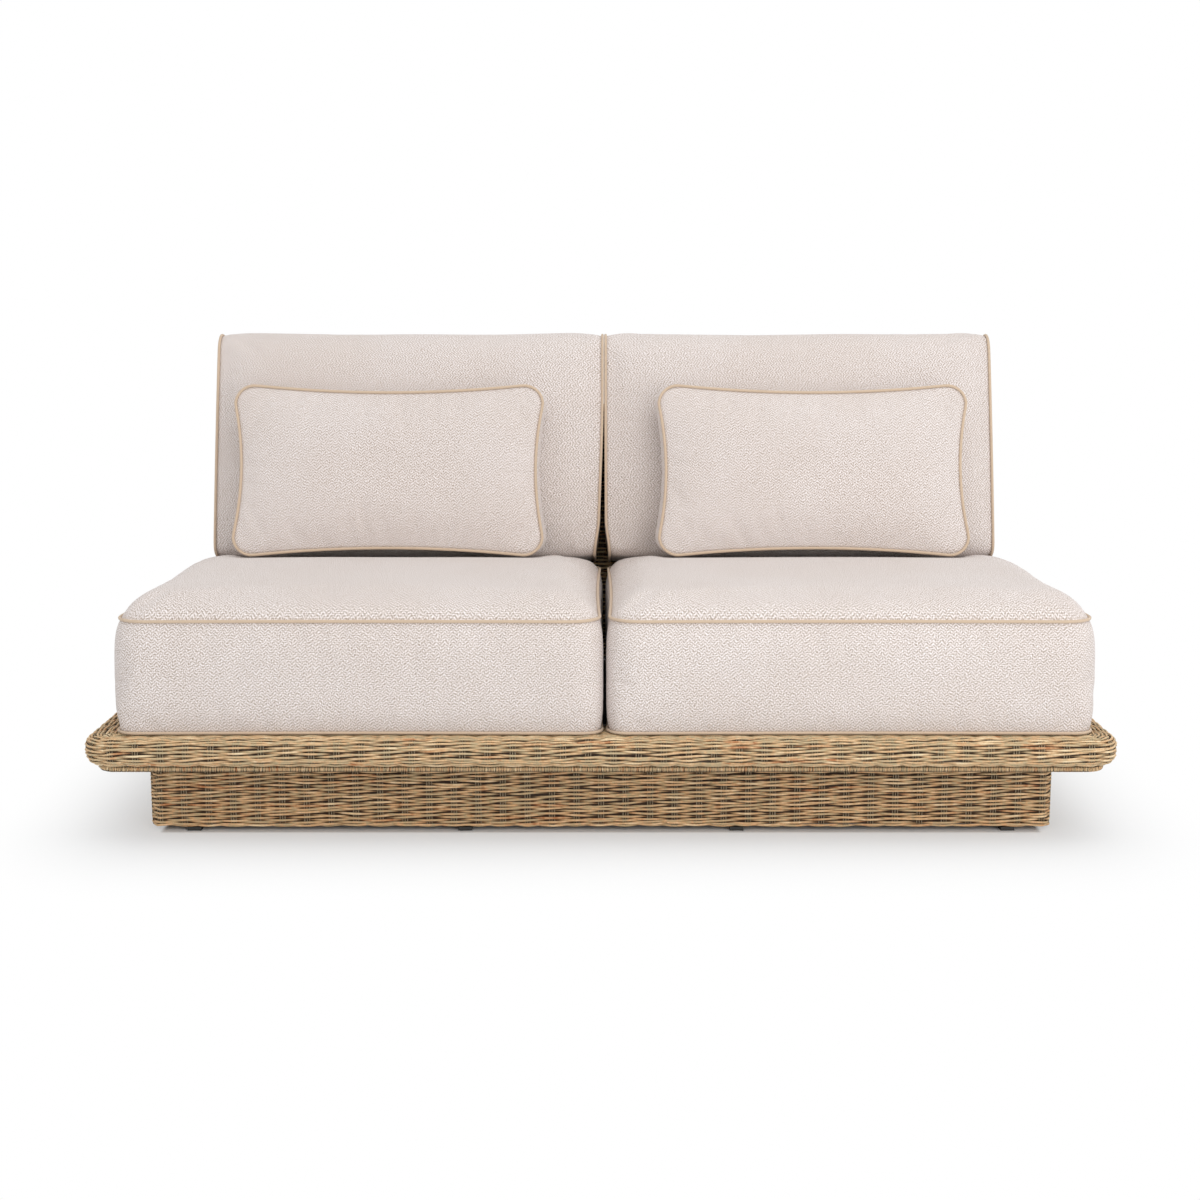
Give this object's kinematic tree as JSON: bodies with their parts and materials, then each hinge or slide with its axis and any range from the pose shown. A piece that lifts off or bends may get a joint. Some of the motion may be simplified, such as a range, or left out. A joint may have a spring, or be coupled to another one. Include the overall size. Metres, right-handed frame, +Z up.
{
  "type": "garden sofa",
  "caption": "Armless woven garden sofa on an inset plinth, with boxed seat cushions, leaning back cushions and lumbar pillows.",
  "frame": {"origin": "on the floor, under the middle of the tray", "axes": "+X along the sofa, to the right when it is seen from the front; -Y towards the front; +Z up"},
  "size_m": [1.9, 1.02, 0.9135],
  "materials": {
    "wicker": "woven round strand, straw and brown",
    "binding": "strand wrapped side by side",
    "fabric": "fine two-tone weave, cream and tan",
    "piping": "plain tan cord",
    "foam": "cut foam",
    "frame": "matt powder coat",
    "webbing": "elastic webbing",
    "fasteners": "plain",
    "nylon": "moulded",
    "zip_tape": "zip tape with its coil",
    "slider": "plain"
  },
  "bodies": {
    "frame": {"back_feet": "frame", "back_lower_rails": "frame", "back_posts": "frame", "back_rail": "frame", "back_top_rail": "frame", "back_weave": "wicker", "cross_straps": "webbing", "deck_bearers": "frame", "deck_front_rail": "frame", "deck_rear_rail": "frame", "deck_side_rails": "frame", "foot_bolts": "fasteners", "glide_screws": "fasteners", "glides": "nylon", "long_straps": "webbing", "nose_struts": "frame", "nose_tube_front": "frame", "nose_tube_rear": "frame", "nose_tubes_side": "frame", "plate_bolts": "fasteners", "plinth_front_rail": "frame", "plinth_posts": "frame", "plinth_rear_rail": "frame", "plinth_side_rails": "frame", "plinth_weave": "wicker", "post_plates": "frame", "strap_clips": "fasteners", "tray_binding": "binding", "tray_weave": "wicker"},
    "seat_left": {"seat_left_cover": "fabric", "seat_left_foam": "foam", "seat_left_piping": "piping", "seat_left_zip": "zip_tape"},
    "seat_left_slider": {"seat_left_zip_slider": "slider"},
    "seat_right": {"seat_right_cover": "fabric", "seat_right_foam": "foam", "seat_right_piping": "piping", "seat_right_zip": "zip_tape"},
    "seat_right_slider": {"seat_right_zip_slider": "slider"},
    "back_left": {"back_left_cover": "fabric", "back_left_foam": "foam", "back_left_piping": "piping", "back_left_zip": "zip_tape"},
    "back_left_slider": {"back_left_zip_slider": "slider"},
    "back_right": {"back_right_cover": "fabric", "back_right_foam": "foam", "back_right_piping": "piping", "back_right_zip": "zip_tape"},
    "back_right_slider": {"back_right_zip_slider": "slider"},
    "pillow_left": {"pillow_left_cover": "fabric", "pillow_left_foam": "foam", "pillow_left_piping": "piping", "pillow_left_zip": "zip_tape"},
    "pillow_left_slider": {"pillow_left_zip_slider": "slider"},
    "pillow_right": {"pillow_right_cover": "fabric", "pillow_right_foam": "foam", "pillow_right_piping": "piping", "pillow_right_zip": "zip_tape"},
    "pillow_right_slider": {"pillow_right_zip_slider": "slider"}
  },
  "joints": [
    {"name": "seat_left_lift", "type": "slide", "parent": "frame", "child": "seat_left", "axis": [0, 0, 1], "range_m": [0, 0.25]},
    {"name": "seat_right_lift", "type": "slide", "parent": "frame", "child": "seat_right", "axis": [0, 0, 1], "range_m": [0, 0.25]},
    {"name": "back_left_lift", "type": "slide", "parent": "seat_left", "child": "back_left", "axis": [0, 0.2588, 0.9659], "range_m": [0, 0.3]},
    {"name": "back_right_lift", "type": "slide", "parent": "seat_right", "child": "back_right", "axis": [0, 0.2588, 0.9659], "range_m": [0, 0.3]},
    {"name": "pillow_left_lift", "type": "slide", "parent": "seat_left", "child": "pillow_left", "axis": [0, 0.2588, 0.9659], "range_m": [0, 0.25]},
    {"name": "pillow_right_lift", "type": "slide", "parent": "seat_right", "child": "pillow_right", "axis": [0, 0.2588, 0.9659], "range_m": [0, 0.25]},
    {"name": "seat_left_zip_run", "type": "slide", "parent": "seat_left", "child": "seat_left_slider", "axis": [1, 0, 0], "range_m": [0, 0.605]},
    {"name": "seat_right_zip_run", "type": "slide", "parent": "seat_right", "child": "seat_right_slider", "axis": [1, 0, 0], "range_m": [0, 0.605]},
    {"name": "back_left_zip_run", "type": "slide", "parent": "back_left", "child": "back_left_slider", "axis": [1, 0, 0], "range_m": [0, 0.565]},
    {"name": "back_right_zip_run", "type": "slide", "parent": "back_right", "child": "back_right_slider", "axis": [1, 0, 0], "range_m": [0, 0.565]},
    {"name": "pillow_left_zip_run", "type": "slide", "parent": "pillow_left", "child": "pillow_left_slider", "axis": [1, 0, 0], "range_m": [0, 0.305]},
    {"name": "pillow_right_zip_run", "type": "slide", "parent": "pillow_right", "child": "pillow_right_slider", "axis": [1, 0, 0], "range_m": [0, 0.305]}
  ]
}
